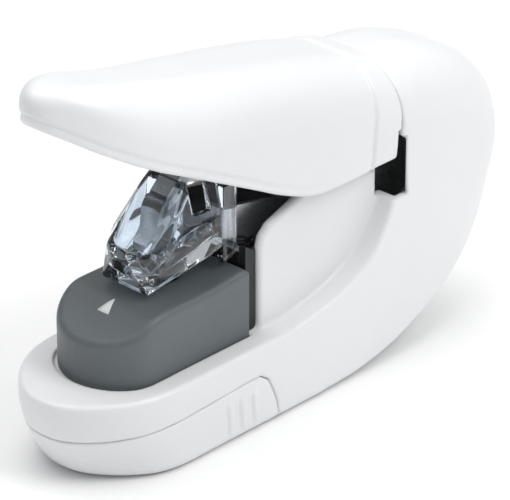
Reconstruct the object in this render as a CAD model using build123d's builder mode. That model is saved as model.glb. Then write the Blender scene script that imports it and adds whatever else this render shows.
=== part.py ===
"""Hand-operated staple-free stapler: white body and lever, grey anvil, clear paper presser.

Frame: X runs from the jaw's nose (-X) to the rear (+X), Y across, +Z up. The origin is on
the surface the stapler stands on, under the middle of its length. Millimetres, degrees.
Everything is drawn as it stands at rest, with the lever up.
"""

import os
from math import atan2, cos, degrees, hypot, pi, radians, sin, sqrt, tan

from build123d import *

# ---------------------------------------------------------------- driving dimensions
# body
base_half = 18.6  # half the body's width
front_x = -66.0  # foremost point of the base
nose_corner_r = 16.0
nose_bow_r = 22.0
edge_r = 5.5  # rounding of the underside and of the back
crown_z = 70.2  # top of the back at its mouth
crown_h = 15.0  # height over which the crown rounds off
crown_power = 0.85  # below 1 squares the crown up, at 1 it is an ellipse
wall = 2.0  # moulded wall of the white shells
rim_z = 20.0  # top of the base beside the anvil
cover_front_z = 10.4  # parting line of the bottom cover at the nose
cover_rear_z = 13.0  # the same at the cover's rear end
cover_end_x = -13.0  # rear end of the bottom cover
cover_corner_r = 5.0
seam = 0.15  # gap at a parting line
fit_gap = 0.4  # gap between shells that pass each other
lever_seam = 0.6  # gap between the lever's rear edge and the back

# narrow upright between jaw and back
web_half = 12.8
web_wall = 1.8
web_front_x = -11.5
web_sill_z = 37.0  # top of its front wall, below the arms

# lever
lever_wall = 2.0
lever_angle = 12.0  # travel from rest to closed
pivot_x, pivot_z = 48.0, 57.0
pivot_r = 2.5
drive_x, drive_z = -23.5, 67.0  # cross pin that works the punch arm
drive_r = 1.5

# steelwork: plates in pairs, each outside the one before it
plate = 1.2
head_arm_y = 7.2  # outer face of the presser's arms
chassis_y = 9.0  # outer face of the chassis plates
frame_y = 10.6  # outer face of the lever frame's plates
punch_arm_half = 2.5
running = 0.05  # radial clearance of a pin in a bore

# presser and punch
head_x, head_z = 21.0, 37.0  # hinge of presser and punch arm
head_pin_r = 2.0
press_angle = 1.4  # travel of the presser
tip_x, tip_z = -39.6, 36.7  # foremost lower edge of the presser
head_knee_z = 44.5  # where its front starts to lean back
head_top_z = 58.5
head_rear_x = -18.0
head_wall = 1.7
punch_x = -31.5  # rear face of the tongue punch when closed
punch_t = 1.2
punch_half = 2.8
blade_x = -28.4  # rear face of the slitting blade when closed
blade_t = 0.8
blade_half = 2.0

# anvil
anvil_half = 13.0
anvil_front_x = -55.0
anvil_rear_x = -15.0
anvil_corner_r = 9.5
anvil_bow_r = 20.0
anvil_lip_z = 29.8  # top of the anvil at its nose
anvil_top_z = 34.9  # flat top under the presser
anvil_flat_front_x, anvil_flat_rear_x = -41.6, -25.0
anvil_rear_z = 36.2
anvil_wall = 2.0
anvil_screw_x = (-48.5, -18.4)
screw_r = 1.0
die_front_x, die_rear_x = -35.2, -26.6  # hole for punch and blade
die_half = 3.6


# ---------------------------------------------------------------- shared shapes
def nose_outline(front, half, rear, corner_r, nose_r):
    """Plan of a straight-sided body with a bowed nose and rounded corners."""
    corner_y = half - corner_r
    corner_x = front + nose_r - sqrt((nose_r - corner_r) ** 2 - corner_y**2)
    lean = atan2(corner_y, front + nose_r - corner_x)
    end = (corner_x - corner_r * cos(lean), corner_y + corner_r * sin(lean))
    mid_lean = (lean + pi / 2) / 2
    mid = (corner_x - corner_r * cos(mid_lean), corner_y + corner_r * sin(mid_lean))
    with BuildLine() as outline:
        Polyline((corner_x, -half), (rear, -half), (rear, half), (corner_x, half))
        ThreePointArc((corner_x, half), mid, end)
        ThreePointArc(end, (front, 0), (end[0], -end[1]))
        ThreePointArc((end[0], -end[1]), (mid[0], -mid[1]), (corner_x, -half))
    return outline.line


def dome_outline(half, top_z, rise, base_z):
    """Cross-section with upright sides and a crown rounded as a superellipse."""
    shoulder_z = top_z - rise
    with BuildLine() as outline:
        Polyline((-half, shoulder_z), (-half, base_z), (half, base_z), (half, shoulder_z))
        crown = [(half * cos(radians(t)) ** crown_power, shoulder_z + rise * sin(radians(t)) ** crown_power) for t in (0, 25, 50, 72)]
        mirrored = [(-y, z) for y, z in reversed(crown)]
        Spline(*crown, (0, top_z), *mirrored, tangents=[(0, 1), (0, -1)])
    return outline.line


def moved_in(points, inset):
    """Points of a curve moved to its left by inset, each square to its neighbours' chord."""
    moved = []
    for before, point, after in zip(points, points[1:], points[2:]):
        chord_x, chord_y = after[0] - before[0], after[1] - before[1]
        scale = inset / hypot(chord_x, chord_y)
        moved.append((point[0] - chord_y * scale, point[1] + chord_x * scale))
    return moved


def body_profile(inset):
    """Side view of base and back as one C: underside, back, mouth, ledge and rim."""
    under_end = (7, 0)
    back = [(30, 4.6), (50, 14.0), (62.8, 26.0), (69.4, 40.0), (67.0, 53.0), (58.5, 61.5), (44, 67.8)]
    mouth_top, mouth_mid, mouth_low = (28.4, crown_z), (29.8, 58.0), (28.4, 44.6)
    ledge = [(25.4, 37.0), (18.2, 28.0), (8.0, 22.9)]
    rim_start = (-6.0, rim_z)
    inner_top = (mouth_top[0] + inset, crown_z - inset)
    inner_low = (mouth_low[0] + inset, mouth_low[1])
    inner_rim = (rim_start[0], rim_z - inset)
    inner_back = moved_in([under_end, *back, mouth_top], inset)
    inner_ledge = moved_in([mouth_low, *ledge, rim_start], inset)
    with BuildLine() as profile:
        Line((front_x - 2, inset), (under_end[0], inset))
        Spline((under_end[0], inset), *inner_back, inner_top, tangents=[(1, 0), (-1, 0.04)])
        ThreePointArc(inner_top, (mouth_mid[0] + inset, mouth_mid[1]), inner_low)
        Spline(inner_low, *inner_ledge, inner_rim, tangents=[(-0.25, -1), (-1, 0)])
        Polyline(inner_rim, (front_x - 2, rim_z - inset), (front_x - 2, inset))
    return profile.line


def body_block(inset):
    """The C-shaped block with its rounded nose, edges and crown, or the same block inset all round."""
    with BuildPart() as block:
        with BuildSketch(Plane.XZ):
            with BuildLine():
                add(body_profile(inset))
            make_face()
        extrude(amount=base_half - inset, both=True)
        with BuildSketch():
            with BuildLine():
                add(nose_outline(front_x + inset, base_half - inset, 90, nose_corner_r - inset, nose_bow_r - inset))
            make_face()
        extrude(amount=120, mode=Mode.INTERSECT)
        under = block.faces().sort_by(Axis.Z)[0]
        back = block.faces().sort_by(Axis.X)[-1]
        rounded = ShapeList(under.edges() + back.edges()).filter_by(
            lambda edge: abs(edge.tangent_at(0.5).Y) < 0.99 or edge.center().X < -30
        )
        fillet(rounded, radius=edge_r - inset)
        with BuildSketch(Plane.YZ.offset(-80)):
            with BuildLine():
                add(dome_outline(base_half - inset, crown_z - inset, crown_h - inset, -5))
            make_face()
        extrude(amount=160, mode=Mode.INTERSECT)
    return block.part


def side_plate(points, y_low, y_high):
    """A flat plate cut to a side-view outline, between two planes across."""
    with BuildPart() as slab:
        with BuildSketch(Plane.XZ.offset(-y_high)):
            with BuildLine():
                Polyline(*points, close=True)
            make_face()
        extrude(amount=y_high - y_low)
    return slab.part


def side_pair(points, outer_y, thickness):
    """Two such plates, mirrored about the middle."""
    return side_plate(points, outer_y - thickness, outer_y) + side_plate(points, -outer_y, thickness - outer_y)


def cross_rod(x, z, radius, half_length):
    """A round rod lying across the stapler."""
    with BuildPart() as rod:
        with BuildSketch(Plane.XZ.offset(-half_length)):
            with Locations((x, z)):
                Circle(radius)
        extrude(amount=2 * half_length)
    return rod.part


def turned(x, z, angle, point):
    """A side-view point turned about (x, z) so that the jaw side rises by angle."""
    dx, dz = point[0] - x, point[1] - z
    swing = radians(angle)
    return (x + dx * cos(swing) + dz * sin(swing), z - dx * sin(swing) + dz * cos(swing))


# ---------------------------------------------------------------- white body
def cover_zone(grow):
    """The region of the bottom cover: all below the parting line, ahead of its round end."""
    end_x = cover_end_x + grow
    rise = (cover_rear_z - cover_front_z) / (cover_end_x - front_x)
    end_z = cover_rear_z + grow
    front_z = end_z + rise * (front_x - 5 - end_x)
    with BuildPart() as zone:
        with BuildSketch(Plane.XZ):
            with BuildLine():
                Polyline((front_x - 5, -1), (end_x + 2.5, -1), (end_x, end_z), (front_x - 5, front_z), close=True)
            make_face()
            fillet(vertices().sort_by_distance((end_x, end_z))[0], radius=cover_corner_r)
        extrude(amount=30, both=True)
    return zone.part


outer = body_block(0)
inner = body_block(wall)

web_top = [(-3.5, 45.3), (4.0, 48.6), (31.0, 48.6)]
web_points = [(31.0, 12.0), (web_front_x, 12.0), (web_front_x, 39.0), *web_top]
web_inner = web_half - web_wall
web_hollow = [
    (web_front_x + web_wall, wall),
    (web_front_x + web_wall, web_sill_z),
    (web_front_x - 1, web_sill_z),
    (web_front_x - 1, 60.0),
    (34.0, 60.0),
    (34.0, wall),
]
deck_window = [(-41.0, 10.0), (-41.0, 30.0), (-21.5, 30.0), (-21.5, 10.0)]
deck_window_half = 8.0
boss_y = frame_y + fit_gap
slot = [(25.4, 38.8), (25.4, 50.0), (34.0, 50.0), (34.0, 38.8)]

with BuildPart() as body_shell:
    add(outer)
    with BuildSketch(Plane.XZ):
        with BuildLine():
            Polyline(*web_points, close=True)
        make_face()
        fillet(vertices().filter_by(lambda v: 38 < v.Y < 47), radius=4)
    extrude(amount=web_half, both=True)
    add(inner, mode=Mode.SUBTRACT)
    add(side_plate(web_hollow, -web_inner, web_inner), mode=Mode.SUBTRACT)
    # the mouth is cut to the shape of the hollow inside it
    with BuildSketch(Plane.YZ.offset(24)):
        with BuildLine():
            add(dome_outline(base_half - wall, crown_z - wall, crown_h - wall, 45.4))
        make_face()
    extrude(amount=9, mode=Mode.SUBTRACT)
    # slots that the lever's rear corners dip into
    add(side_pair(slot, base_half - wall, base_half - wall - web_half), mode=Mode.SUBTRACT)
    # deck opening under the anvil, and the bottom cover's place
    add(side_plate(deck_window, -deck_window_half, deck_window_half), mode=Mode.SUBTRACT)
    for x in anvil_screw_x:
        with BuildSketch(Plane.XY.offset(rim_z - wall - 3)):
            with Locations((x, 0)):
                Circle(screw_r)
        extrude(amount=8, mode=Mode.SUBTRACT)
    # blind bosses for the lever's pivot pin
    for side in (-1, 1):
        with BuildSketch(Plane.XZ.offset(-side * boss_y)):
            with Locations((pivot_x, pivot_z)):
                Circle(pivot_r + 2.2)
                Circle(pivot_r, mode=Mode.SUBTRACT)
        extrude(amount=-side * (base_half - wall - boss_y + 0.5))
    add(cover_zone(seam), mode=Mode.SUBTRACT)


def save(built, name):
    """Label a finished piece and write its STEP."""
    built.part.label = name
    export_step(built.part, f"parts/{name}.step")


os.makedirs("parts", exist_ok=True)
save(body_shell, "body_shell")

with BuildPart() as bottom_cover:
    add(outer)
    add(inner, mode=Mode.SUBTRACT)
    add(cover_zone(0), mode=Mode.INTERSECT)
save(bottom_cover, "bottom_cover")


# ---------------------------------------------------------------- lever
# the lever's form: place along X, half-width, lower edge, crown
lever_stations = [
    (-69.6, 1.8, 86.0, 87.8),
    (-68.4, 4.2, 85.2, 89.3),
    (-65.8, 6.5, 83.5, 90.6),
    (-61.0, 9.2, 80.2, 91.2),
    (-54.0, 11.9, 75.7, 89.9),
    (-44.0, 14.4, 70.1, 87.1),
    (-32.0, 16.2, 64.3, 84.0),
    (-17.0, 17.0, 56.8, 80.8),
    (-3.0, 17.1, 50.4, 78.0),
    (9.0, 17.1, 48.2, 75.6),
    (19.0, 17.0, 48.2, 73.0),
    (29.5, 16.9, 48.0, 69.8),
]


def lever_form(inset, drop, stations):
    """The lever's form lofted through its cross-sections, inset all round, its underside lowered by drop."""
    with BuildPart() as form:
        for x, half, low, top in stations:
            with BuildSketch(Plane.YZ.offset(x)):
                with BuildLine():
                    add(dome_outline(half - inset, top - inset, 0.62 * (top - low) - inset, low - drop))
                make_face()
        loft()
    return form.part


bridge_z = 76.2  # top of the frame's front bridge, under the lever's screw posts
post_places = [(-38.0, -5.0), (-38.0, 5.0)]
rear_cut = [
    (29.8 - lever_seam, 58.0),
    (28.4 - lever_seam, 75.0),
    (40.0, 75.0),
    (40.0, 40.0),
    (26.4 - lever_seam, 40.0),
]
cavity = lever_form(lever_wall, 8.0, lever_stations[3:])
corner_cut = [(22.5, 40.0), (22.5, 53.5), (32.0, 57.5), (32.0, 40.0)]
with BuildPart() as lever_shell:
    add(lever_form(0, 0, lever_stations))
    add(cavity, mode=Mode.SUBTRACT)
    # posts for the frame's screws, moulded on the crown
    with BuildSketch(Plane.XY.offset(bridge_z)):
        with Locations(*post_places):
            Circle(2.4)
    extrude(amount=7.6)
    with BuildSketch(Plane.XY.offset(bridge_z)):
        with Locations(*post_places):
            Circle(screw_r)
    extrude(amount=5.5, mode=Mode.SUBTRACT)
    add(side_plate(rear_cut, -30, 30), mode=Mode.SUBTRACT)
    add(side_pair(corner_cut, 20.0, 20.0 - (base_half - wall - fit_gap)), mode=Mode.SUBTRACT)
save(lever_shell, "lever_shell")

# the plate that closes the underside of the nose
nose_plate_rear_x = -45.0
with BuildPart() as lever_nose_plate:
    add(lever_form(lever_wall + seam, -0.6, lever_stations[3:7]))
    with BuildSketch(Plane.XZ):
        with BuildLine():
            Polyline((-62, 82.9), (-62, 80.5), (-44.0, 69.7), (nose_plate_rear_x, 72.5), close=True)
        make_face()
    extrude(amount=20, both=True, mode=Mode.INTERSECT)
save(lever_nose_plate, "lever_nose_plate")

# steel frame inside the lever: two plates, bridges and the bore of the pivot
frame_points = [
    (-44.0, 77.5),
    (-44.0, 73.5),
    (drive_x - 4, drive_z - 4.2),
    (drive_x + 4, drive_z - 4.2),
    (20.0, 53.0),
    (pivot_x - 4, pivot_z - 5.2),
    (pivot_x + 3, pivot_z - 5.2),
    (pivot_x + 5, pivot_z),
    (pivot_x + 3, pivot_z + 5.2),
    (24.0, 63.0),
    (-2.0, 71.0),
]
front_bridge = [(-43.0, bridge_z - plate), (-33.0, bridge_z - plate), (-33.0, bridge_z), (-43.0, bridge_z)]
rear_bridge = [(28.0, 58.2), (28.0, 57.0), (38.0, 57.0), (38.0, 58.2)]
frame_inner = frame_y - plate
with BuildPart() as lever_frame:
    add(side_pair(frame_points, frame_y, plate))
    add(side_plate(front_bridge, -frame_inner, frame_inner))
    add(side_plate(rear_bridge, -frame_inner, frame_inner))
    add(cross_rod(pivot_x, pivot_z, pivot_r + running, 20), mode=Mode.SUBTRACT)
    add(cross_rod(drive_x, drive_z, drive_r, 20), mode=Mode.SUBTRACT)
    with BuildSketch(Plane.XY.offset(bridge_z - 2 * plate)):
        with Locations(*post_places):
            Circle(screw_r)
    extrude(amount=4 * plate, mode=Mode.SUBTRACT)
save(lever_frame, "lever_frame")

with BuildPart() as drive_pin:
    add(cross_rod(drive_x, drive_z, drive_r, frame_y + 0.8))
save(drive_pin, "drive_pin")

with BuildPart() as lever_screws:
    with BuildSketch(Plane.XY.offset(bridge_z - plate - 1.4)):
        with Locations(*post_places):
            Circle(2.0)
    extrude(amount=1.4)
    with BuildSketch(Plane.XY.offset(bridge_z - plate)):
        with Locations(*post_places):
            Circle(screw_r)
    extrude(amount=plate + 5.0)
save(lever_screws, "lever_screws")


def clips(x, z, bore_r, y):
    """A pair of retaining rings on a cross pin, outside the plates that it passes through."""
    with BuildPart() as pair:
        for side_y in (-y - 0.6, y):
            with BuildSketch(Plane.XZ.offset(-side_y - 0.6)):
                with Locations((x, z)):
                    Circle(bore_r + 1.3)
                    Circle(bore_r, mode=Mode.SUBTRACT)
            extrude(amount=0.6)
    return pair


save(clips(drive_x, drive_z, drive_r, frame_y), "drive_pin_clips")


# ---------------------------------------------------------------- chassis and lever pivot
chassis_front_x = web_front_x + web_wall + 0.5
# a C: foot under the die, neck behind the web's front wall, head round the pivot
chassis_points = [
    (-44.0, 4.0),
    (-44.0, 17.5),
    (-13.0, 17.5),
    (-13.0, 11.4),
    (chassis_front_x, 11.4),
    (chassis_front_x, 36.0),
    (8.0, 43.0),
    (24.0, 46.0),
    (36.0, 50.5),
    (pivot_x - 5, pivot_z + 2),
    (pivot_x - 3, pivot_z + 5),
    (pivot_x + 3, pivot_z + 5),
    (pivot_x + 5, pivot_z + 2),
    (pivot_x + 5, 50.0),
    (44.0, 38.0),
    (31.0, 30.0),
    (21.0, 22.0),
    (11.0, 10.0),
    (2.0, 4.0),
]
neck_window = [(-4.0, 11.0), (-4.0, 20.0), (9.0, 30.0), (15.0, 30.0), (4.0, 13.0)]
chassis_inner = chassis_y - plate
die_bed_z = 15.0  # the die's cheeks stand on this cross plate
die_bed = [(-42.0, die_bed_z - plate), (-20.0, die_bed_z - plate), (-20.0, die_bed_z), (-42.0, die_bed_z)]
heel_bed = [(-8.0, 4.5), (2.0, 4.5), (2.0, 4.5 + plate), (-8.0, 4.5 + plate)]
spring_x, spring_seat_z = 33.0, 40.0
presser_spring_x, presser_seat_z = -4.0, 24.2
spring_seat = [(28.0, spring_seat_z - plate), (38.0, spring_seat_z - plate), (38.0, spring_seat_z), (28.0, spring_seat_z)]
presser_seat = [(-9.0, presser_seat_z - plate), (1.0, presser_seat_z - plate), (1.0, presser_seat_z), (-9.0, presser_seat_z)]
with BuildPart() as chassis:
    add(side_pair(chassis_points, chassis_y, plate))
    for points in (die_bed, heel_bed, spring_seat, presser_seat):
        add(side_plate(points, -chassis_inner, chassis_inner))
    add(side_pair(neck_window, chassis_y + 1, plate + 2), mode=Mode.SUBTRACT)
    add(cross_rod(pivot_x, pivot_z, pivot_r, 20), mode=Mode.SUBTRACT)
    add(cross_rod(head_x, head_z, head_pin_r, 20), mode=Mode.SUBTRACT)
save(chassis, "chassis")

with BuildPart() as main_pivot_pin:
    add(cross_rod(pivot_x, pivot_z, pivot_r, 14.0))
save(main_pivot_pin, "main_pivot_pin")

with BuildPart() as head_pivot_pin:
    add(cross_rod(head_x, head_z, head_pin_r, chassis_y + 0.8))
save(head_pivot_pin, "head_pivot_pin")
save(clips(head_x, head_z, head_pin_r, chassis_y), "head_pin_clips")


# ---------------------------------------------------------------- springs
def coil(x, low_z, high_z, mean_r, wire_r, turns):
    """A compression spring standing on its seat."""
    pitch = (high_z - low_z - 2 * wire_r) / turns
    with BuildPart() as spring:
        with BuildLine() as path:
            Helix(pitch, high_z - low_z - 2 * wire_r, mean_r, center=(x, 0, low_z + wire_r))
        with BuildSketch(Plane(path.line @ 0, z_dir=path.line % 0)):
            Circle(wire_r)
        sweep()
    return spring


lever_spring = coil(spring_x, spring_seat_z, 57.0, 3.6, 0.5, 6)
save(lever_spring, "lever_return_spring")


# ---------------------------------------------------------------- presser
def head_section(front, front_half, corner, side_half, rear_half, inset):
    """One level of the faceted presser: a narrow front, slanted cheeks and straight sides."""
    corner_half = side_half - inset
    return [
        (front + inset, -(front_half - 0.4 * inset)),
        (corner + 0.4 * inset, -corner_half),
        (head_rear_x - inset, -(rear_half - inset)),
        (head_rear_x - inset, rear_half - inset),
        (corner + 0.4 * inset, corner_half),
        (front + inset, front_half - 0.4 * inset),
    ]


def head_form(inset, bottom, top):
    """The presser's faceted block, ruled between three levels."""
    levels = [
        (bottom, head_section(tip_x, 5.2, tip_x + 4.0, 7.4, 8.4, inset)),
        (head_knee_z, head_section(tip_x - 1.8, 4.6, tip_x + 2.2, 8.2, 9.0, inset)),
        (top, head_section(-26.8, 3.0, -23.4, 7.8, 8.8, inset)),
    ]
    with BuildPart() as form:
        for z, points in levels:
            with BuildSketch(Plane.XY.offset(z)):
                with BuildLine():
                    Polyline(*points, close=True)
                make_face()
        loft(ruled=True)
    return form.part


pad_z = tip_z + 0.2
pad = 4.4
under_cheeks = [(tip_x + 5, 30.0), (tip_x + 5, tip_z), (-29.0, 40.8), (-10.0, 40.8), (-10.0, 30.0)]
behind_pad = [(-26.0, 30.0), (-26.0, 40.8), (-10.0, 40.8), (-10.0, 30.0)]
above_pad = [(tip_x + 5, 30.0), (tip_x + 5, pad_z), (-26.0, pad_z), (-26.0, 30.0)]
pin_slot = [(drive_x - 2.4, 50.8), (drive_x + 2.2, 50.8), (drive_x + 2.2, 70.0), (drive_x - 2.4, 70.0)]
rear_window = [(-26.0, 42.6), (-10.0, 42.6), (-10.0, 70.0), (-26.0, 70.0)]
punch_window = [(die_front_x - 0.8, 30.0), (die_rear_x, 30.0), (die_rear_x, 44.0), (die_front_x - 0.8, 44.0)]
cheek = [(head_rear_x, 38.0), (-13.4, 38.0), (-13.4, 55.0), (head_rear_x, 56.0)]
with BuildPart() as clear_head:
    add(head_form(0, tip_z, head_top_z))
    add(side_pair(under_cheeks, 12.0, 12.0 - pad), mode=Mode.SUBTRACT)
    add(side_plate(behind_pad, -5, 5), mode=Mode.SUBTRACT)
    add(side_plate(above_pad, -5, 5), mode=Mode.SUBTRACT)
    add(side_pair(cheek, 9.0, head_wall))
    add(head_form(head_wall, tip_z + 2.2, head_top_z + 0.01), mode=Mode.SUBTRACT)
    add(side_plate(rear_window, -4.0, 4.0), mode=Mode.SUBTRACT)
    add(side_plate(pin_slot, -12, 12), mode=Mode.SUBTRACT)
    add(side_plate(punch_window, 0.4 - die_half, die_half - 0.4), mode=Mode.SUBTRACT)
save(clear_head, "clear_head")

head_arm_points = [
    (head_rear_x, 42.8),
    (-9.0, 40.0),
    (head_x - 3, head_z - 3.6),
    (head_x + 2, head_z - 3.6),
    (head_x + 3.6, head_z),
    (head_x + 2, head_z + 3.6),
    (head_x - 8, 42.0),
    (-8.0, 47.5),
    (head_rear_x, 49.5),
]
arm_bridge = [(head_rear_x, 42.8), (head_rear_x + plate, 42.8), (head_rear_x + plate, 49.5), (head_rear_x, 49.5)]
arm_inner = head_arm_y - plate
with BuildPart() as head_arms:
    add(side_pair(head_arm_points, head_arm_y, plate))
    add(side_pair(arm_bridge, arm_inner, arm_inner - 3.2))
    add(side_plate([(-8.0, 38.6), (0.0, 38.6), (0.0, 39.6), (-8.0, 39.6)], -arm_inner, arm_inner))
    add(cross_rod(head_x, head_z, head_pin_r + running, 20), mode=Mode.SUBTRACT)
save(head_arms, "head_arms")

presser_spring = coil(presser_spring_x, presser_seat_z, 38.6, 2.6, 0.4, 6)
save(presser_spring, "presser_spring")


# ---------------------------------------------------------------- punch arm
def drive_point(angle):
    """Where the drive pin is when the lever has closed by angle."""
    return turned(pivot_x, pivot_z, -angle, (drive_x, drive_z))


closed_pin = drive_point(lever_angle)
rest_slope = degrees(atan2(drive_z - head_z, head_x - drive_x))
closed_slope = degrees(atan2(closed_pin[1] - head_z, head_x - closed_pin[0]))
punch_angle = rest_slope - closed_slope

arm_closed = [
    (head_x + 3.4, head_z + 1.5),
    (head_x - 2.0, head_z + 3.4),
    (8.0, 47.0),
    (-18.0, 56.5),
    (closed_pin[0] - 2.6, closed_pin[1] + 4.2),
    (punch_x + 3.6, 46.5),
    (punch_x, 40.4),
    (punch_x, 37.6),
    (punch_x + 4.2, 41.6),
    (-26.0, 43.5),
    (-19.0, 43.5),
    (-8.0, 42.6),
    (head_x - 2.0, head_z - 3.0),
    (head_x + 3.4, head_z - 1.5),
]
arm_rest = [turned(head_x, head_z, punch_angle, point) for point in arm_closed]


def along(reach, slope, offset):
    """A side-view point at a distance from the hinge, with a sideways offset."""
    swing = radians(slope)
    return (
        head_x - reach * cos(swing) + offset * sin(swing),
        head_z + reach * sin(swing) + offset * cos(swing),
    )


rest_reach = hypot(drive_x - head_x, drive_z - head_z)
closed_reach = hypot(closed_pin[0] - head_x, closed_pin[1] - head_z)
slot_half = drive_r + 0.45
slot_near, slot_far = closed_reach - drive_r - 0.5, rest_reach + drive_r + 0.5
slot_points = [
    along(slot_near, rest_slope, -slot_half),
    along(slot_near, rest_slope, slot_half),
    along(slot_far, rest_slope, slot_half),
    along(slot_far, rest_slope, -slot_half),
]
with BuildPart() as punch_arm:
    add(side_plate(arm_rest, -punch_arm_half, punch_arm_half))
    add(side_plate(slot_points, -10, 10), mode=Mode.SUBTRACT)
    add(cross_rod(head_x, head_z, head_pin_r + running, 20), mode=Mode.SUBTRACT)
save(punch_arm, "punch_arm")

# punch and blade hang from the arm's nose, drawn closed and turned up to rest
punch_low_z = 27.0
punch_side = [
    (punch_x - punch_t, punch_low_z + 1.6),
    (punch_x - punch_t / 2, punch_low_z),
    (punch_x, punch_low_z + 1.6),
    (punch_x, 38.6),
    (punch_x - punch_t, 38.6),
]
blade_low_z = 31.0
blade_side = [
    (blade_x - blade_t, blade_low_z),
    (blade_x, blade_low_z + 1.6),
    (blade_x, 37.6 + (blade_x - punch_x) * 4.0 / 4.2),
    (blade_x - blade_t, 37.6 + (blade_x - blade_t - punch_x) * 4.0 / 4.2),
]


def at_rest(points):
    """A side-view outline of the punch arm, turned up from closed to rest."""
    return [turned(head_x, head_z, punch_angle, point) for point in points]


with BuildPart() as tongue_punch:
    add(side_plate(at_rest(punch_side), -punch_half, punch_half))
save(tongue_punch, "tongue_punch")

with BuildPart() as slit_blade:
    add(side_plate(at_rest(blade_side), -blade_half, blade_half))
save(slit_blade, "slit_blade")


# ---------------------------------------------------------------- anvil
def anvil_form(inset):
    """The anvil's rounded block, or the same block inset all round and open below."""
    front, rear = anvil_front_x + inset, anvil_rear_x - inset
    with BuildPart() as form:
        with BuildSketch(Plane.XY.offset(rim_z)):
            with BuildLine():
                add(nose_outline(front, anvil_half - inset, rear, anvil_corner_r - inset, anvil_bow_r - inset))
            make_face()
        extrude(amount=20)
        with BuildSketch(Plane.XZ):
            with BuildLine():
                Polyline(
                    (anvil_front_x - 1, rim_z - 1),
                    (anvil_front_x - 1, anvil_lip_z - inset),
                    (anvil_flat_front_x, anvil_top_z - inset),
                    (anvil_flat_rear_x, anvil_top_z - inset),
                    (anvil_rear_x + 1, anvil_rear_z - inset),
                    (anvil_rear_x + 1, rim_z - 1),
                    close=True,
                )
            make_face()
            fillet(vertices().sort_by_distance((anvil_flat_front_x, anvil_top_z - inset))[0], radius=9)
            fillet(vertices().sort_by_distance((anvil_flat_rear_x, anvil_top_z - inset))[0], radius=30)
        extrude(amount=20, both=True, mode=Mode.INTERSECT)
    return form.part


plate_half = 6.0
plate_front_x, plate_rear_x = -38.0, -24.4
top_window = [(plate_front_x, 30.0), (plate_front_x, 40.0), (plate_rear_x, 40.0), (plate_rear_x, 30.0)]
with BuildPart() as anvil_cover:
    add(anvil_form(0))
    edges_above = anvil_cover.edges().filter_by(lambda edge: edge.center().Z > anvil_lip_z - 1)
    fillet(edges_above.filter_by(lambda edge: edge.center().X < anvil_rear_x - 1), radius=1.4)
    add(anvil_form(anvil_wall), mode=Mode.SUBTRACT)
    for x in anvil_screw_x:
        with BuildSketch(Plane.XY.offset(rim_z)):
            with Locations((x, 0)):
                Circle(2.3)
        extrude(amount=anvil_lip_z - rim_z)
        with BuildSketch(Plane.XY.offset(rim_z)):
            with Locations((x, 0)):
                Circle(screw_r)
        extrude(amount=6.5, mode=Mode.SUBTRACT)
    add(side_plate(top_window, -plate_half, plate_half), mode=Mode.SUBTRACT)
save(anvil_cover, "anvil_cover")

# steel die: top plate with the hole, and two cheeks that stand on the base
cheek_y = plate_half - plate
die_top_z = anvil_top_z - anvil_wall
die_roof = [(-39.4, die_top_z - 1.6), (-39.4, die_top_z), (-23.0, die_top_z), (-23.0, die_top_z - 1.6)]
die_pad = [(plate_front_x + 0.1, die_top_z), (plate_front_x + 0.1, anvil_top_z - 0.1), (plate_rear_x - 0.1, anvil_top_z - 0.1)]
die_pad += [(plate_rear_x - 0.1, die_top_z)]
cheek_points = [(-39.4, die_bed_z), (-39.4, die_top_z - 1.6), (-23.0, die_top_z - 1.6), (-23.0, die_bed_z)]
die_hole = [(die_front_x, 20.0), (die_front_x, 40.0), (die_rear_x, 40.0), (die_rear_x, 20.0)]
fold_x, fold_z = -25.4, 22.0
fold_pin_r = 1.0
with BuildPart() as die_block:
    add(side_plate(die_roof, -plate_half, plate_half))
    add(side_plate(die_pad, 0.1 - plate_half, plate_half - 0.1))
    add(side_pair(cheek_points, plate_half, plate))
    add(side_plate(die_hole, -die_half, die_half), mode=Mode.SUBTRACT)
    add(cross_rod(fold_x, fold_z, fold_pin_r, 20), mode=Mode.SUBTRACT)
save(die_block, "die_block")

# flap that tucks the cut tongue back through the slit
fold_points = [
    (fold_x + 2.0, fold_z),
    (fold_x + 1.0, fold_z + 2.0),
    (fold_x - 1.0, fold_z + 2.0),
    (-31.2, 26.2),
    (-31.2, 24.4),
    (fold_x - 1.0, fold_z - 2.0),
    (fold_x + 1.0, fold_z - 2.0),
]
with BuildPart() as fold_lever:
    add(side_plate(fold_points, -2.2, 2.2))
    add(cross_rod(fold_x, fold_z, fold_pin_r + running, 20), mode=Mode.SUBTRACT)
save(fold_lever, "fold_lever")

with BuildPart() as fold_lever_pin:
    add(cross_rod(fold_x, fold_z, fold_pin_r, plate_half + 0.6))
save(fold_lever_pin, "fold_lever_pin")

# torsion spring beside the flap: close turns shown as rings on the pin
ring_r = 0.35
with BuildPart() as fold_spring:
    for turn in range(3):
        ring_y = 2.7 + turn * 2 * ring_r
        with BuildSketch(Plane.XY.offset(fold_z)):
            with Locations((fold_x + fold_pin_r + ring_r, ring_y)):
                Circle(ring_r)
        revolve(axis=Axis((fold_x, 0, fold_z), (0, 1, 0)), revolution_arc=360)
save(fold_spring, "fold_spring")

# white alignment mark let into the sloping pad
pad_rise = atan2(anvil_top_z - anvil_lip_z, anvil_flat_front_x - anvil_front_x + 1)
mark_x = -45.4
mark_z = anvil_lip_z + tan(pad_rise) * (mark_x - anvil_front_x + 1)
mark_plane = Plane(origin=(mark_x, 0, mark_z), x_dir=(cos(pad_rise), 0, sin(pad_rise)), z_dir=(-sin(pad_rise), 0, cos(pad_rise)))
with BuildPart() as position_mark:
    with BuildSketch(mark_plane):
        with BuildLine():
            Polyline((-2.1, -1.9), (-2.1, 1.9), (2.3, 0), close=True)
        make_face()
    extrude(amount=0.12)
save(position_mark, "position_mark")

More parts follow.
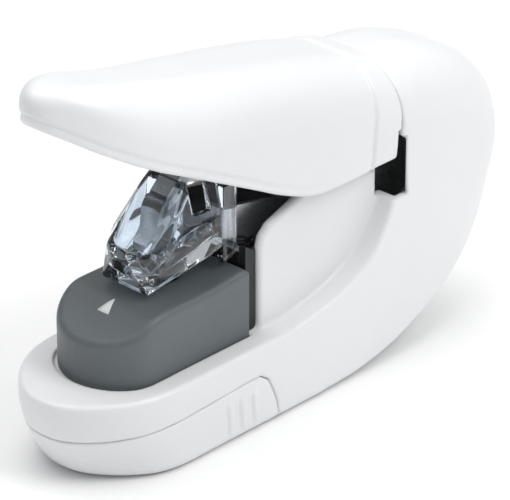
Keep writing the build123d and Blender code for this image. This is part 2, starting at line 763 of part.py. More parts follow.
# ---------------------------------------------------------------- black stop at the back of the jaw
stop_front_x, stop_z = -14.6, 36.6
stop_points = [(stop_front_x, rim_z), (stop_front_x, stop_z), (web_front_x, stop_z), (web_front_x, rim_z)]
stop_wings = [(stop_front_x, stop_z), (stop_front_x, stop_z + 4), (web_front_x, stop_z + 2.2), (web_front_x, stop_z)]
with BuildPart() as throat_stop:
    add(side_plate(stop_points, -11.6, 11.6))
    add(side_pair(stop_wings, 11.6, 2.0))
save(throat_stop, "throat_stop")

# ---------------------------------------------------------------- screws up into the anvil
with BuildPart() as anvil_screws:
    for x in anvil_screw_x:
        with BuildSketch(Plane.XY.offset(rim_z - wall - 1.4)):
            with Locations((x, 0)):
                Circle(2.0)
        extrude(amount=1.4)
        with BuildSketch(Plane.XY.offset(rim_z - wall)):
            with Locations((x, 0)):
                Circle(screw_r)
        extrude(amount=wall + 6.0)
save(anvil_screws, "anvil_screws")
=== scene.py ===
"""White hand stapler that binds without staples: moulded shells, clear presser, studio light.

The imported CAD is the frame. Lengths in this file are millimetres until a mesh is made, where
MM turns them into metres. Floor, lights and camera are in metres. Each moulded shell is a
field, negative inside the plastic, and skin() draws the surface where it is 0.
"""
import math

import bpy
import numpy as np
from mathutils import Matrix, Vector


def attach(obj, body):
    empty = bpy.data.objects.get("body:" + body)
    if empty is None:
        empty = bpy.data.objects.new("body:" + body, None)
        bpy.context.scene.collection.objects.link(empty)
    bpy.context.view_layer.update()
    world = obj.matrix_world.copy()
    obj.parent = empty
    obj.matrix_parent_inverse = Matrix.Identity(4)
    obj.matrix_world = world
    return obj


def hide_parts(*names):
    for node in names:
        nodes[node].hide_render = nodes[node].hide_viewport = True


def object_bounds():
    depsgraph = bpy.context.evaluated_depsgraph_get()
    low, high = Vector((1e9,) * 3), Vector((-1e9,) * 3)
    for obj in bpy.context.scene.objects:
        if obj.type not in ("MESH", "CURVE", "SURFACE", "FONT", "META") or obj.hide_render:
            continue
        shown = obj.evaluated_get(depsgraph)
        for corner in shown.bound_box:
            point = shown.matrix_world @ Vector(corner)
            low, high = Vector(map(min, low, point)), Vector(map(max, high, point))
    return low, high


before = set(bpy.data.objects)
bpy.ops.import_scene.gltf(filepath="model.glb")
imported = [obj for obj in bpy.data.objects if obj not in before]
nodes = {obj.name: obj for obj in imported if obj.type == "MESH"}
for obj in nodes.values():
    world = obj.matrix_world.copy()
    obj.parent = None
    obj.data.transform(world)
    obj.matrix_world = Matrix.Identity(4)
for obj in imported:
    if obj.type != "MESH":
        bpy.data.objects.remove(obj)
cad_box = [list(corner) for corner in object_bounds()]
MM = 0.001
NET_STEP = 0.5  # cell of the grid that the body's skin is drawn on
FINE_STEP = 0.4  # the same for the cover, the anvil and the lever
HEAD_STEP = 0.3  # the same for the clear presser


# ---------------------------------------------------------------- materials
def linked(tree, kind, **values):
    """A new shader node with its inputs set."""
    node = tree.nodes.new(kind)
    for name, value in values.items():
        node.inputs[name.replace("_", " ")].default_value = value
    return node


def set_ramp(ramp, low_place, high_place, low, high):
    """Give a two-stop colour ramp its places and its colours."""
    first, last = ramp.color_ramp.elements
    first.position, last.position = low_place, high_place
    first.color = (*low, 1)
    last.color = (*high, 1)


def material(name, low, high, rough, tint_scale, grain_scale, grain, **sockets):
    """A shader whose colour drifts from low to high, with uneven gloss and a fine grain in relief."""
    made = bpy.data.materials.new(name)
    made.use_nodes = True
    tree = made.node_tree
    shader = tree.nodes["Principled BSDF"]
    for socket, value in sockets.items():
        shader.inputs[socket.replace("_", " ")].default_value = value
    place = tree.nodes.new("ShaderNodeTexCoord")
    drift = linked(tree, "ShaderNodeTexNoise", Scale=tint_scale, Detail=3.0)
    grains = linked(tree, "ShaderNodeTexNoise", Scale=grain_scale, Detail=4.0)
    tree.links.new(place.outputs["Object"], drift.inputs["Vector"])
    tree.links.new(place.outputs["Object"], grains.inputs["Vector"])
    colour = tree.nodes.new("ShaderNodeValToRGB")
    set_ramp(colour, 0.35, 0.65, low, high)
    tree.links.new(drift.outputs["Fac"], colour.inputs["Fac"])
    tree.links.new(colour.outputs["Color"], shader.inputs["Base Color"])
    gloss = linked(tree, "ShaderNodeMapRange", To_Min=rough[0], To_Max=rough[1])
    tree.links.new(grains.outputs["Fac"], gloss.inputs["Value"])
    tree.links.new(gloss.outputs["Result"], shader.inputs["Roughness"])
    relief = linked(tree, "ShaderNodeBump", Strength=grain, Distance=0.0002)
    tree.links.new(grains.outputs["Fac"], relief.inputs["Height"])
    tree.links.new(relief.outputs["Normal"], shader.inputs["Normal"])
    return made


white = material(
    "white_abs_moulding", (0.80, 0.805, 0.81), (0.83, 0.835, 0.84), (0.30, 0.40), 18, 2600, 0.06, IOR=1.5
)
trim = material(
    "white_trim_moulding", (0.74, 0.745, 0.75), (0.77, 0.775, 0.78), (0.35, 0.45), 18, 2600, 0.06, IOR=1.5
)
grey = material(
    "grey_abs_texture", (0.112, 0.130, 0.136), (0.130, 0.150, 0.157), (0.36, 0.52), 25, 3200, 0.30, IOR=1.5
)
black = material(
    "black_acetal", (0.008, 0.009, 0.010), (0.016, 0.017, 0.019), (0.38, 0.50), 25, 2600, 0.12, IOR=1.48
)
mark = material("white_print", (0.80, 0.81, 0.82), (0.86, 0.87, 0.88), (0.45, 0.60), 60, 3200, 0.10, IOR=1.5)
steel = material(
    "plated_steel", (0.50, 0.51, 0.52), (0.60, 0.61, 0.62), (0.22, 0.38), 40, 1500, 0.10, Metallic=1.0
)
spring = material(
    "spring_wire", (0.40, 0.41, 0.42), (0.50, 0.51, 0.52), (0.18, 0.30), 60, 2200, 0.08, Metallic=1.0
)
clear = material(
    "clear_polycarbonate", (0.80, 0.885, 0.97), (0.90, 0.945, 0.99), (0.01, 0.04), 20, 700, 0.02,
    IOR=1.585, Transmission_Weight=1.0,
)
pale = material("pale_floor", (0.94, 0.94, 0.94), (0.95, 0.95, 0.95), (0.75, 0.85), 3, 300, 0.02)
finishes = {
    "white_abs": white,
    "white_trim": trim,
    "grey_abs": grey,
    "black_plastic": black,
    "white_mark": mark,
    "steel": steel,
    "spring_steel": spring,
    "clear_plastic": clear,
}
for node in nodes.values():
    for holder in node.material_slots:
        holder.material = finishes[holder.material.name.split(".")[0]]


# ---------------------------------------------------------------- tools for fields
def smooth(value, low, high):
    """0 up to low, 1 from high, and a soft rise between them."""
    t = np.clip((value - low) / (high - low), 0, 1)
    return t * t * (3 - 2 * t)


def groove(distance, half, depth):
    """A soft round groove along the line where distance is 0."""
    return depth * np.exp(-((distance / half) ** 2))


def both(a, b, radius):
    """What is inside a and b, with the edge between them rounded."""
    rounded = np.hypot(np.maximum(a + radius, 0), np.maximum(b + radius, 0))
    return rounded + np.minimum(np.maximum(a, b), -radius)


def either(a, b, radius):
    """What is inside a or b, with the inner corner between them filled."""
    return -both(-a, -b, radius)


def box_field(x, y, z, low, high):
    """Distance to a box given by its corners, enough of it for cutting."""
    parts = [np.maximum(a - value, value - b) for value, a, b in zip((x, y, z), low, high)]
    return np.maximum(np.maximum(parts[0], parts[1]), parts[2])


def faceted(x, y, z, facets, radius):
    """Inside every facet, with narrow rounded edges. A facet is its outward direction and a point."""
    side = np.abs(y)
    form = None
    for direction, point in facets:
        size = math.hypot(*direction)
        beyond = sum(n / size * (value - at) for n, value, at in zip(direction, (x, side, z), point))
        form = beyond if form is None else both(form, beyond, radius)
    return form


# ---------------------------------------------------------------- tools for outlines
def curve_through(points, count=12):
    """Points along a smooth line through the ones given."""
    p = np.array(points, float)
    p = np.vstack([2 * p[0] - p[1], p, 2 * p[-1] - p[-2]])
    line = []
    for a, b, c, d in zip(p[:-3], p[1:-2], p[2:-1], p[3:]):
        bend, twist = 2 * a - 5 * b + 4 * c - d, 3 * b - a - 3 * c + d
        for t in np.arange(count) / count:
            line.append(0.5 * (2 * b + (c - a) * t + bend * t**2 + twist * t**3))
    return [*line, p[-2]]


class Outline:
    """Signed distance to a closed flat outline, negative inside, read from a table."""

    def __init__(self, points, step=0.25, margin=6.0):
        points = np.array(points, float)
        self.step, self.low = step, points.min(0) - margin
        size = np.ceil((points.max(0) + margin - self.low) / step).astype(int) + 1
        u, v = np.meshgrid(*[self.low[i] + step * np.arange(size[i]) for i in (0, 1)], indexing="ij")
        nearest, inside = np.full(u.shape, 1e9), np.zeros(u.shape, bool)
        for a, b in zip(points, np.roll(points, -1, 0)):
            run = b - a
            if run @ run < 1e-12:
                continue
            t = np.clip(((u - a[0]) * run[0] + (v - a[1]) * run[1]) / (run @ run), 0, 1)
            nearest = np.minimum(nearest, (u - a[0] - t * run[0]) ** 2 + (v - a[1] - t * run[1]) ** 2)
            if run[1] != 0:
                inside ^= ((a[1] > v) != (b[1] > v)) & (u < a[0] + (v - a[1]) * run[0] / run[1])
        self.table = np.where(inside, -1, 1) * np.sqrt(nearest)

    def __call__(self, u, v):
        u, v = np.broadcast_arrays(u, v)
        size = self.table.shape
        gu = np.clip((u - self.low[0]) / self.step, 0, size[0] - 1.001)
        gv = np.clip((v - self.low[1]) / self.step, 0, size[1] - 1.001)
        i, j = gu.astype(int), gv.astype(int)
        a, b = gu - i, gv - j
        t = self.table
        low = t[i, j] * (1 - a) + t[i + 1, j] * a
        high = t[i, j + 1] * (1 - a) + t[i + 1, j + 1] * a
        return low * (1 - b) + high * b


def mirrored(half_line, rear):
    """A closed plan from one side's line, running from the nose on the middle to a straight rear."""
    half_line = curve_through(half_line)
    far = [*half_line, (rear, half_line[-1][1])]
    return Outline([*far, *[(x, -y) for x, y in reversed(far)][:-1]])


# ---------------------------------------------------------------- tools for meshes
CORNERS = [(i, j, k) for i in (0, 1) for j in (0, 1) for k in (0, 1)]


def net_points(values, cells):
    """In each cell, the middle of the places where the surface crosses the cell's edges."""
    total, count = np.zeros((len(cells), 3)), np.zeros(len(cells))
    for axis in range(3):
        unit = np.eye(3, dtype=int)[axis]
        for corner in CORNERS:
            if corner[axis]:
                continue
            a = values[tuple((cells + corner).T)]
            b = values[tuple((cells + corner + unit).T)]
            crossing = (a < 0) != (b < 0)
            share = a / np.where(crossing, a - b, 1)
            total[crossing] += (np.array(corner) + share[:, None] * unit)[crossing]
            count += crossing
    return cells + total / count[:, None]


def drawn_onto(field, points, reach):
    """The points, moved along the field's slope onto its surface, no further than reach a time."""
    probe = 0.02
    for _ in range(2):
        here = field(*points.T)
        slope = np.stack([(field(*(points + probe * np.eye(3)[i]).T) - here) / probe for i in range(3)], 1)
        size = np.maximum((slope**2).sum(1), 0.2)
        move = np.clip(here / size, -reach, reach)
        points = points - slope * move[:, None]
    return points


def net_faces(inside, index):
    """A quad round every grid edge that the surface crosses, facing outwards."""
    faces = []
    for axis in range(3):
        others = [i for i in range(3) if i != axis]
        first = np.take(inside, range(inside.shape[axis] - 1), axis)
        second = np.take(inside, range(1, inside.shape[axis]), axis)
        edges = np.argwhere(first != second)
        starts = first[tuple(edges.T)]
        ring = []
        for du, dv in ((-1, -1), (0, -1), (0, 0), (-1, 0)):
            cell = edges.copy()
            cell[:, others[0]] += du
            cell[:, others[1]] += dv
            ring.append(index[tuple(cell.T)])
        quads = np.stack(ring, 1)
        turned = starts if axis != 1 else ~starts
        quads[~turned] = quads[~turned][:, ::-1]
        faces.append(quads)
    return np.vstack(faces)


def mesh_piece(name, points, faces, finish, body, replaced):
    """A mesh object of quads, given in millimetres, that rides a body and stands for CAD nodes."""
    points, faces = np.array(points, float), np.array(faces, int)
    mesh = bpy.data.meshes.new(name)
    sides = faces.shape[1]
    mesh.vertices.add(len(points))
    mesh.vertices.foreach_set("co", (points * MM).astype(np.float32).ravel())
    mesh.loops.add(faces.size)
    mesh.loops.foreach_set("vertex_index", faces.astype(np.int32).ravel())
    mesh.polygons.add(len(faces))
    mesh.polygons.foreach_set("loop_start", np.arange(0, faces.size, sides, dtype=np.int32))
    mesh.polygons.foreach_set("use_smooth", np.ones(len(faces), bool))
    mesh.update(calc_edges=True)
    mesh.validate()
    mesh.materials.append(finish)
    piece = bpy.data.objects.new(name, mesh)
    bpy.context.scene.collection.objects.link(piece)
    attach(piece, body)
    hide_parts(*replaced)
    return piece


def skin(name, field, low, high, step, finish, body, replaced):
    """The surface where field is 0, between two corners, as a mesh of quads whose points lie on it."""
    axes = [np.arange(a - step, b + 2 * step, step) for a, b in zip(low, high)]
    grid = np.meshgrid(*axes, indexing="ij", sparse=True)
    values = np.broadcast_to(field(*grid), [len(a) for a in axes])
    inside = values < 0
    near = np.zeros([n - 1 for n in values.shape], np.int8)
    for i, j, k in CORNERS:
        near += inside[i : i + near.shape[0], j : j + near.shape[1], k : k + near.shape[2]]
    active = (near > 0) & (near < len(CORNERS))
    cells = np.argwhere(active)
    index = np.full(near.shape, -1)
    index[active] = np.arange(len(cells))
    points = net_points(values, cells) * step + [a[0] for a in axes]
    points = drawn_onto(field, points, 0.4 * step)
    return mesh_piece(name, points, net_faces(inside, index), finish, body, replaced)


# ---------------------------------------------------------------- body and its bottom cover
WALL = 2.0
CUT_EDGE = 0.3  # rounding where a hollow or a hole leaves a wall
BODY_HALF = 18.6  # half the width of the base
BACK_NARROWER = 1.5  # how far each side of the arch stands in from the base
BASE_EDGE, BACK_EDGE = 2.3, 14.5  # rounding of the side's outline, at the base and up the arch
NOSE_RAKE, NOSE_RAKE_TOP = 7.2, 17.0  # the nose is cut back this far at the floor, fading to this height
RIM_Z = 20.0  # top of the rim round the anvil
JAW_REAR = 28.4  # where the jaw meets the arch
LEDGE_Z = 44.6  # top of the ledge beside the web
WEB_HALF, WEB_INNER = 12.8, 11.0  # outer and inner half width of the web behind the jaw
COVER_GAP = 0.16  # between the body and the bottom cover
RECESS_GAP, RECESS_WIDER, RECESS_Z = 0.2, 0.75, 18.9  # round the anvil, more at its nose, and its floor
WEB_HOLLOW = ((-9.7, -WEB_INNER, WALL), (34.0, WEB_INNER, 60.0))
WEB_OPENING = ((-14.0, -WEB_INNER, 37.0), (0.0, WEB_INNER, 60.0))
DIE_OPENING = ((-41.0, -8.0, 10.0), (-21.5, 8.0, 30.0))
ARCH_SLOT = ((25.4, 3.8, 38.8), (34.0, 16.4, 52.0))
SLOT_MOUTH = ((25.4, 3.8, 38.8), (30.9, 17.3, 53.0))  # room for the lever's rear corner when squeezed
RIDGES = (-26.4, -22.6, -18.8)  # finger ridges on the sides of the cover
RIDGE_HEIGHT, RIDGE_LEAN = 0.52, 0.06

back_line = curve_through([
    (2, 0), (16, 1.0), (30, 4.6), (50, 14.0), (62.8, 26.0), (69.4, 40.0), (67.0, 53.0), (58.5, 61.5),
    (44, 67.8), (28.4, 70.2),
])
side_outline = Outline([(-90, 0), *back_line, (0, 70.6), (-90, 70.6)])
ledge_line = curve_through([(JAW_REAR, LEDGE_Z), (25.4, 37), (18.2, 28), (8, 22.9), (-6, RIM_Z)])
mouth_line = curve_through([(JAW_REAR, 71), (29.5, 64), (29.8, 58), (29.5, 51), (JAW_REAR, LEDGE_Z)])
jaw_space = Outline([(-95, 90), (JAW_REAR, 90), *mouth_line, *ledge_line, (-95, RIM_Z)], margin=8)
body_plan = mirrored([
    (-65.8, 0), (-65.4, 3.4), (-64.0, 6.8), (-61.4, 10.2), (-57.6, 13.6), (-52.4, 16.6), (-47, 18.1),
    (-41, BODY_HALF), (-30, BODY_HALF),
], 95)
web_side = Outline([
    (31, 12), (-11.5, 12), (-11.5, 39.5), (-10.8, 42.0), (-8.6, 44.2), (-3.5, 46.0), (4.0, 48.6), (31.0, 48.6)
])
cover_side = Outline([
    (-75, -4), (-10.5, -4), (-12.0, 5.0), (-13.2, 8.0), (-14.6, 11.0), (-17.2, 12.8), (-20, 12.8), (-75, 10.2)
])


def body_outer(x, y, z):
    """The rounded form of body and cover together, before the jaw is cut out of it."""
    low_down = np.clip((NOSE_RAKE_TOP - z) / NOSE_RAKE_TOP, 0, 1) ** 1.7
    rake = NOSE_RAKE * low_down * smooth(-x, 25, 58)
    sides = body_plan(x - rake, y) + BACK_NARROWER * smooth(z, 22, 48)
    edge = BASE_EDGE + (BACK_EDGE - BASE_EDGE) * smooth(z, 4, 36)
    return both(sides, side_outline(x, z), edge)


def body_field(x, y, z):
    """Base, web and arch as one hollow shell, less the cover's share of it."""
    outer = body_outer(x, y, z)
    jaw = jaw_space(x, z)
    form = both(outer, -jaw, 0.7 + 0.6 * smooth(-x, -6, 8))
    web = both(np.abs(y) - WEB_HALF, web_side(x, z), 1.4)
    form = either(form, np.maximum(web, outer), 1.2)
    hollow = np.maximum(outer, -jaw) + WALL
    mouth = np.maximum(outer + WALL, np.maximum(LEDGE_Z + 1.0 - z, 24 - x))
    nose_room = RECESS_GAP + RECESS_WIDER * smooth(-x, 42, 52)
    recess = np.maximum(anvil_plan(x, y) - nose_room, RECESS_Z - z)
    slots = np.minimum(box_field(x, np.abs(y), z, *ARCH_SLOT), box_field(x, np.abs(y), z, *SLOT_MOUTH))
    boxes = [box_field(x, y, z, *box) for box in (WEB_HOLLOW, WEB_OPENING, DIE_OPENING)]
    for space in (hollow, mouth, *boxes, slots, recess):
        form = both(form, -space, CUT_EDGE)
    return both(form, -(cover_side(x, z) - COVER_GAP), CUT_EDGE)


def cover_field(x, y, z):
    """The tray under the nose, with finger ridges on its sides."""
    outer = body_outer(x, y, z)
    ridge = np.zeros(1)
    ends = smooth(z, 1.6, 3.2) * (1 - smooth(z, 9.4, 10.8))
    for ridge_x in RIDGES:
        across = np.abs(x - ridge_x + RIDGE_LEAN * (z - 6))
        ridge = np.maximum(ridge, (1 - smooth(across, 0.45, 1.15)) * ends)
    form = both(outer - RIDGE_HEIGHT * ridge, cover_side(x, z), 0.45)
    return both(form, -(outer + WALL), CUT_EDGE)


# ---------------------------------------------------------------- anvil
ANVIL_HALF = 13.0
ANVIL_EDGE = 1.5
ANVIL_FOOT = 18.95
ANVIL_WINDOW = ((-35.3, -3.7, 30.0), (-26.5, 3.7, 40.0))
anvil_plan = mirrored([
    (-54.2, 0), (-53.7, 3.6), (-52.2, 7.2), (-49.8, 10.2), (-47, 12.2), (-43.6, ANVIL_HALF), (-36, ANVIL_HALF)
], -14.8)
anvil_top = curve_through([
    (-62, 27.6), (-55, 29.7), (-50, 31.1), (-46.3, 32.8), (-43.6, 34.3), (-40.5, 34.95), (-33, 35.0),
    (-24, 35.2), (-14, 36.2),
])
anvil_side = Outline([*anvil_top, (-10, 36.5), (-10, 10), (-64, 10)], margin=8)


def anvil_field(x, y, z):
    """The grey block, open underneath, with the window over the die."""
    sides = anvil_plan(x, y)
    top = anvil_side(x, z)
    form = both(sides, top, ANVIL_EDGE)
    form = both(form, -np.maximum(sides + WALL, top + WALL), CUT_EDGE)
    form = both(form, ANVIL_FOOT - z, CUT_EDGE)
    return both(form, -box_field(x, y, z, *ANVIL_WINDOW), CUT_EDGE)


# ---------------------------------------------------------------- lever
NOSE_EDGE, LEVER_EDGE = 3.0, 12.5  # rounding of the lever's upper edges, at its nose and further back
CREASE_X, CREASE_Z, CREASE_LEAN = 21.3, 64.0, 0.10  # groove across the lever before the arch
CREASE_DEPTH, COLLAR_PROUD = 0.42, 0.32  # the lever is a little thicker behind the crease
LIP_HEIGHT, LIP_DEPTH = 1.9, 0.34  # line along the lever's lower edge, fading towards the rear
CORNER_DEPTH = 0.65  # step in the lever's side at its lower rear corner
CAVITY_FRONT = -62.5  # the nose is solid in front of this
BOSS_X, BOSS_Y, BOSS_R, BORE_R = -38.0, 5.0, 2.4, 1.1  # screw bosses over the nose plate
BOSS_LOW, BOSS_HIGH, BORE_TOP = 76.25, 84.0, 81.7
PLATE_REAR, PLATE_GAP = -45.0, 0.15
PLATE_LOW, PLATE_HIGH = 0.7, 2.6  # the nose plate's two faces, from the lever's lower edge

lever_plan = mirrored([
    (-67.4, 0), (-67.0, 1.5), (-65.8, 3.1), (-64, 4.6), (-61.5, 6.4), (-58, 8.8), (-53, 11.5), (-45, 14.1),
    (-33, 16.0), (-17, 16.95), (-3, 17.1), (19, 17.0), (30, 16.9),
], 40)
lever_top = curve_through([
    (-67.5, 86.6), (-67.1, 88.4), (-65.8, 90.1), (-63.4, 91.0), (-60, 91.1), (-54, 89.9), (-44, 87.1),
    (-32, 84.0), (-17, 80.9), (-3, 78.2), (9, 75.6), (19, 72.9), (24, 71.4), (29.5, 70.0), (40, 68.0),
])
lever_side = Outline([*lever_top, (40, 30), (-60, 30), (-66.8, 84.0), (-67.3, 85.2)])
lever_low = curve_through([
    (-72, 87.4), (-69.4, 85.6), (-66, 83.4), (-61, 80.2), (-54, 75.7), (-44, 70.1), (-32, 64.3),
    (-17, 56.8), (-10, 53.2), (-3, 50.2), (3, 48.5), (9, 48.2), (24, 48.1), (42, 48.0),
])
lever_under = Outline([*lever_low, (42, 20), (-80, 20), (-80, 87)], margin=10)
lever_rear = Outline([
    (-90, 30), (26.2, 30), (27.4, 44), (28.6, 51), (29.1, 58), (28.8, 64), (27.7, 72), (27.0, 100), (-90, 100)
])
lever_corner = Outline([
    (18.5, 44), (20.6, 49.4), (22.6, 52.2), (25.2, 54.2), (28.4, 55.2), (36, 55.4), (36, 44)
])


def lever_field(x, y, z):
    """The squeeze lever's shell, open below, with its crease, its lip and its screw bosses."""
    edge = NOSE_EDGE + (LEVER_EDGE - NOSE_EDGE) * smooth(x, -69, -35)
    outer = both(lever_plan(x, y), lever_side(x, z), edge)
    crease = CREASE_X + CREASE_LEAN * (z - CREASE_Z)
    collar = COLLAR_PROUD * smooth(x, crease - 0.5, crease + 0.5)
    collar = collar - groove(x - crease + 0.2, 0.55, CREASE_DEPTH)
    low_line = lever_under(x, z)
    lip = groove(low_line - LIP_HEIGHT, 0.42, LIP_DEPTH) * smooth(-x, -20, 20)
    corner = CORNER_DEPTH * smooth(-lever_corner(x, z), -0.25, 0.45) * smooth(np.abs(y), 12, 14)
    form = both(outer - collar + lip + corner, -low_line, 0.8)
    form = both(form, lever_rear(x, z), 0.5)
    hollow = np.maximum(outer + WALL, CAVITY_FRONT - x)
    form = both(form, -hollow, 0.35)
    from_boss = np.hypot(x - BOSS_X, np.abs(y) - BOSS_Y)
    bosses = np.maximum(from_boss - BOSS_R, np.maximum(BOSS_LOW - z, z - BOSS_HIGH))
    bores = np.maximum(from_boss - BORE_R, z - BORE_TOP)
    return np.maximum(either(form, bosses, 0.6), -bores)


def nose_plate_field(x, y, z):
    """The plate let into the underside of the nose, a seam inside the shell's wall."""
    outer = both(lever_plan(x, y), lever_side(x, z), NOSE_EDGE)
    plate = both(outer + WALL + PLATE_GAP, -(lever_under(x, z) - PLATE_LOW), CUT_EDGE)
    plate = both(plate, lever_under(x, z) - PLATE_HIGH, CUT_EDGE)
    return both(plate, x - PLATE_REAR, CUT_EDGE)


# ---------------------------------------------------------------- clear presser
# each facet: its outward direction and a point on it, for the side where Y is positive
OUTER_FACETS = (
    ((-0.964, 0, -0.265), (-39.4, 0, 36.7)),
    ((-0.680, 0, 0.733), (-41.2, 0, 43.9)),
    ((-0.88, 0.46, 0.10), (-40.3, 4.4, 40.0)),
    ((-0.52, 0.84, 0.14), (-37.6, 7.0, 42.0)),
    ((-0.56, 0.62, 0.55), (-36.0, 6.2, 47.4)),
    ((-0.10, 0.97, -0.13), (-30.0, 8.5, 43.0)),
    ((-0.08, 0.95, 0.30), (-30.0, 8.4, 47.0)),
    ((0.0, 1.0, 0.0), (-20.0, 8.9, 45.0)),
    ((1.0, 0, 0), (-18.0, 0, 46.0)),
    ((0, 0, 1.0), (-26.0, 0, 58.4)),
)
INNER_FACETS = (
    ((-0.95, 0.12, -0.28), (-37.2, 0, 39.5)),
    ((-0.66, 0.10, 0.74), (-38.6, 0, 44.6)),
    ((-0.80, 0.58, -0.12), (-37.6, 3.6, 42.0)),
    ((-0.38, 0.88, 0.28), (-35.4, 5.4, 46.0)),
    ((0.03, 0.98, -0.20), (-29.0, 6.9, 46.0)),
    ((0.0, 0.97, 0.24), (-29.0, 6.8, 50.0)),
    ((0.24, 0.12, -0.96), (-33.0, 2.0, 40.4)),
)
FACET_EDGE, INNER_EDGE = 0.22, 0.25
TOE_X, TOE_Z = -39.3, 36.55  # front end of the underside, which rises towards the rear
UNDER_SINE, UNDER_COSINE = 0.236, 0.971  # of the underside's slope
PRESS_PAD = ((-38.9, -4.5, 36.9), (-27.0, 4.5, 42.0))
HEAD_OPENINGS = (  # slot for the drive pin, window for the punch arm, window for the punch
    ((-25.9, -9.0, 50.8), (-21.3, 9.0, 70.0)),
    ((-26.0, -4.0, 42.6), (-10.0, 4.0, 70.0)),
    ((-36.0, -3.2, 30.0), (-26.6, 3.2, 44.0)),
)
CHEEK_INNER, CHEEK_OUTER = 7.1, 8.9  # the two cheeks behind the head, across
CHEEK_FRONT, CHEEK_REAR = -18.6, -14.3
CHEEK_LOW, CHEEK_HIGH, CHEEK_RISE = 37.3, 55.5, 0.3  # the lower edge rises towards the rear


def head_field(x, y, z):
    """The clear head that holds the sheets: a faceted hollow shell, its pad and its two cheeks."""
    side = np.abs(y)
    shell = faceted(x, y, z, OUTER_FACETS, FACET_EDGE)
    under = (x - TOE_X) * UNDER_SINE - (z - TOE_Z) * UNDER_COSINE
    pad = both(box_field(x, y, z, *PRESS_PAD), shell, 0.25)
    form = either(both(shell, under, 0.25), pad, 0.15)
    form = np.maximum(form, -faceted(x, y, z, INNER_FACETS, INNER_EDGE))
    inward = np.maximum(CHEEK_INNER - side, np.maximum(CHEEK_FRONT - x, x - CHEEK_REAR))
    cheek = both(side - CHEEK_OUTER, inward, CUT_EDGE)
    cheek = both(cheek, np.maximum(CHEEK_LOW - z + CHEEK_RISE * (x + 18), z - CHEEK_HIGH), CUT_EDGE)
    form = either(form, cheek, CUT_EDGE)
    for low, high in HEAD_OPENINGS:
        form = both(form, -box_field(x, y, z, low, high), 0.2)
    return form


# ---------------------------------------------------------------- position mark
MARK_REAR, MARK_LENGTH, MARK_HALF = -46.0, 3.6, 1.65
MARK_TIP = 0.06  # half width left at the tip, as a share
MARK_PROUD, MARK_SUNK = 0.05, -0.10  # top and bottom of the mark, from the anvil's surface


def position_triangle():
    """A thin triangle that lies on the anvil's curved top, in rows across it."""
    rows, across = 6, (-1, -0.33, 0.33, 1)
    row_size = 2 * len(across)
    surface_x, surface_z = zip(*anvil_top)
    points, faces = [], []
    for row in range(rows + 1):
        share = row / rows
        x = MARK_REAR + MARK_LENGTH * share
        z = np.interp(x, surface_x, surface_z)
        half = MARK_HALF * (1 - (1 - MARK_TIP) * share)
        points += [(x, place * half, z + lift) for place in across for lift in (MARK_PROUD, MARK_SUNK)]
    for start in range(0, rows * row_size, row_size):
        after = start + row_size
        for column in (0, 2, 4):
            a, b = start + column, after + column
            faces += [(a, a + 2, b + 2, b), (a + 1, b + 1, b + 3, a + 3)]
        faces += [(start, after, after + 1, start + 1), (start + 6, start + 7, after + 7, after + 6)]
    for a in (0, 2, 4):
        end = rows * row_size + a
        faces += [(a, a + 1, a + 3, a + 2), (end, end + 2, end + 3, end + 1)]
    mesh_piece("position_triangle", points, faces, mark, "body", ["position_mark"])


# ---------------------------------------------------------------- pieces
skin(
    "body_moulding", body_field, (-66.4, -18.8, -0.2), (70, 18.8, 71), NET_STEP,
    white, "body", ["body_shell"],
)
skin(
    "base_cover_moulding", cover_field, (-66.4, -19.4, -0.4), (-10, 19.4, 13.4), FINE_STEP,
    white, "cover", ["bottom_cover"],
)
skin(
    "anvil_moulding", anvil_field, (-55, -13.2, 18.8), (-14.6, 13.2, 36.6), FINE_STEP,
    grey, "body", ["anvil_cover"],
)
skin(
    "lever_moulding", lever_field, (-70.0, -17.6, 47.6), (30, 17.6, 91.6), FINE_STEP,
    white, "lever", ["lever_shell"],
)
skin(
    "nose_plate_moulding", nose_plate_field, (-66, -15, 68), (-44, 15, 86), FINE_STEP,
    trim, "lever", ["lever_nose_plate"],
)
skin(
    "presser_moulding", head_field, (-41.6, -9.2, 36.2), (-13.2, 9.2, 58.8), HEAD_STEP,
    clear, "presser", ["clear_head"],
)
position_triangle()


# ---------------------------------------------------------------- floor, light, camera
def pale_disc(radii, spokes):
    """A flat round floor, in rings round the object, just under its lowest point."""
    mesh = bpy.data.meshes.new("floor")
    angles = [2 * math.pi * s / spokes for s in range(spokes)]
    points = [(0, 0, 0)]
    for radius in radii:
        points += [(radius * math.cos(angle), radius * math.sin(angle), 0) for angle in angles]
    faces = [(0, 1 + s, 1 + (s + 1) % spokes) for s in range(spokes)]
    for ring in range(len(radii) - 1):
        a, b = 1 + ring * spokes, 1 + (ring + 1) * spokes
        faces += [(a + s, b + s, b + (s + 1) % spokes, a + (s + 1) % spokes) for s in range(spokes)]
    mesh.from_pydata(points, [], faces)
    mesh.materials.append(pale)
    floor = bpy.data.objects.new("floor", mesh)
    floor.location.z = cad_box[0][2] - 0.0002
    bpy.context.scene.collection.objects.link(floor)


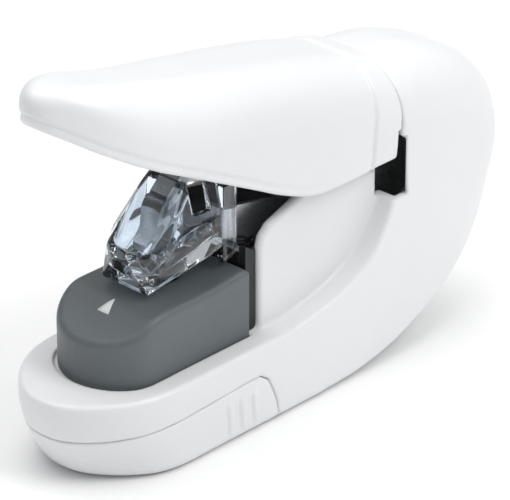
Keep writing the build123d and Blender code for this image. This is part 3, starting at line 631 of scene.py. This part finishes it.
def area_light(name, place, aim, size, power):
    """A square soft light that points from place to aim."""
    data = bpy.data.lights.new(name, "AREA")
    data.shape, data.size, data.size_y, data.energy = "RECTANGLE", size, size, power
    light = bpy.data.objects.new(name, data)
    light.location = place
    light.rotation_euler = (Vector(aim) - Vector(place)).to_track_quat("-Z", "Y").to_euler()
    bpy.context.scene.collection.objects.link(light)


def studio_world(strength, low, high):
    """A sky that goes from the low colour at the horizon to the high colour overhead."""
    world = bpy.data.worlds.new("studio")
    bpy.context.scene.world = world
    world.use_nodes = True
    tree = world.node_tree
    background = tree.nodes["Background"]
    background.inputs["Strength"].default_value = strength
    sky = tree.nodes.new("ShaderNodeTexCoord")
    split = tree.nodes.new("ShaderNodeSeparateXYZ")
    bands = tree.nodes.new("ShaderNodeValToRGB")
    tree.links.new(sky.outputs["Generated"], split.inputs["Vector"])
    tree.links.new(split.outputs["Z"], bands.inputs["Fac"])
    tree.links.new(bands.outputs["Color"], background.inputs["Color"])
    set_ramp(bands, 0.0, 0.75, low, high)


def set_camera(aim, away, distance, lens):
    """The camera, looking at aim from the photographer's side."""
    data = bpy.data.cameras.new("camera")
    data.lens, data.sensor_width = lens, 36.0
    camera = bpy.data.objects.new("camera", data)
    camera.location = aim + away.normalized() * distance
    camera.rotation_euler = (-away).to_track_quat("-Z", "Y").to_euler()
    bpy.context.scene.collection.objects.link(camera)
    bpy.context.scene.camera = camera


MIDDLE = (0, 0, 0.04)
VIEW_RIGHT = Vector((0.688, -0.725, 0.0))
VIEW_UP = Vector((0.335, 0.318, 0.887))
VIEW_AWAY = Vector((-0.643, -0.611, 0.462))
VIEW_AIM = Vector((0, 0, 0.045)) + VIEW_RIGHT * 0.0004 - VIEW_UP * 0.0130
pale_disc(radii=(0.4, 1.2, 3.0, 6.0), spokes=48)
area_light("key", (0.30, -0.75, 0.95), MIDDLE, size=0.60, power=5.6)
area_light("top", (0.00, 0.15, 1.10), MIDDLE, size=1.10, power=8.8)
studio_world(strength=0.46, low=(0.60, 0.62, 0.66), high=(1.0, 1.0, 1.0))
bpy.context.scene.view_settings.view_transform = "Standard"
set_camera(VIEW_AIM, VIEW_AWAY, distance=0.900, lens=293.5)
